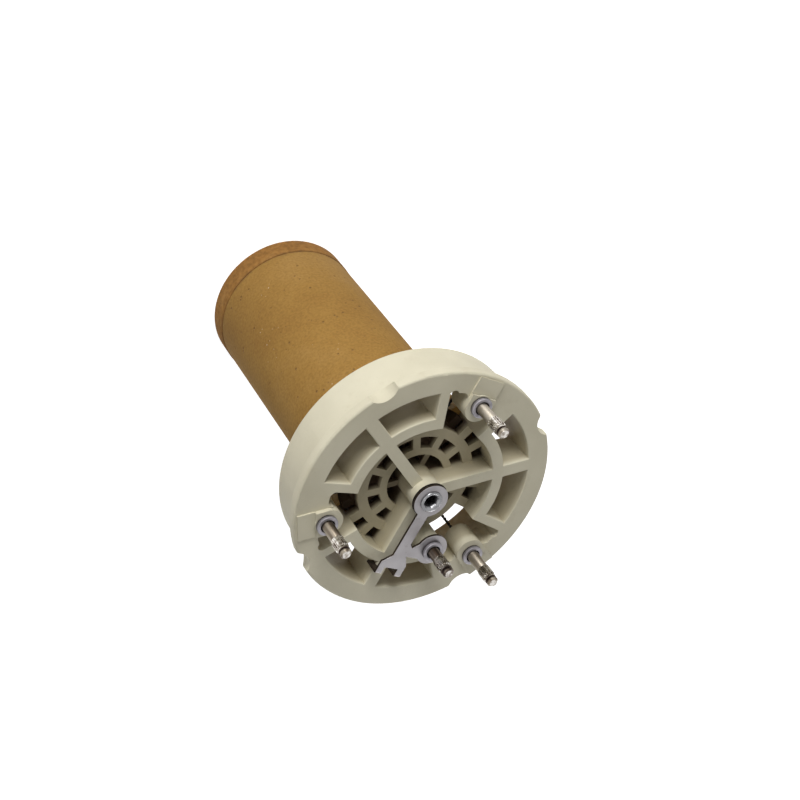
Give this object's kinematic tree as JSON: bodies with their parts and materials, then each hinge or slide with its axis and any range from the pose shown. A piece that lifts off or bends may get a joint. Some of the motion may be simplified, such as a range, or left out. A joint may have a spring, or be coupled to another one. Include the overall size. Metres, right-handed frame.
{
  "type": "ceramic heating element",
  "caption": "Ceramic air heating element: a spoked flange with knurled terminal pins and a star strap, carrying a round ceramic tube with a wound honeycomb core inside.",
  "frame": {"origin": "centre of the heater tube's outlet end, on the tube's axis", "axes": "+Z along the tube's axis towards the terminals, +X along the spoke opposite the second terminal"},
  "size_m": [0.092, 0.092, 0.1447],
  "materials": {
    "flange_ceramic": "matte cream technical ceramic, unglazed",
    "tube_ceramic": "matte brown sandy fired ceramic with light grains and small dark pits",
    "end_ring_ceramic": "matte coarser and slightly redder fired ceramic",
    "core_ceramic": "matte technical ceramic",
    "tie_steel": "satin nickel-plated steel",
    "strap_steel": "dull grey stamped steel sheet",
    "pin_plating": "bright nickel plating",
    "rivet_steel": "dull grey rolled steel",
    "winding_wire": "dark oxidised resistance wire",
    "lead_wire": "black oxidised twisted wire"
  },
  "bodies": {
    "root": {"ceramic_flange": "flange_ceramic", "outer_tube": "tube_ceramic", "end_ring": "end_ring_ceramic", "core_segment_1": "core_ceramic", "core_segment_2": "core_ceramic", "core_segment_3": "core_ceramic", "tie_tube": "tie_steel", "tie_nut": "tie_steel", "far_washer": "tie_steel", "star_strap": "strap_steel", "hub_washer": "strap_steel", "terminal_pin_1": "pin_plating", "terminal_pin_2": "pin_plating", "terminal_pin_3": "pin_plating", "star_pin": "pin_plating", "terminal_rivet_1": "rivet_steel", "terminal_rivet_2": "rivet_steel", "terminal_rivet_3": "rivet_steel", "star_rivet": "rivet_steel", "heating_winding_1": "winding_wire", "heating_winding_2": "winding_wire", "heating_winding_3": "winding_wire", "twisted_lead_1": "lead_wire", "twisted_lead_2": "lead_wire", "twisted_lead_3": "lead_wire", "star_lead": "lead_wire"}
  },
  "joints": []
}
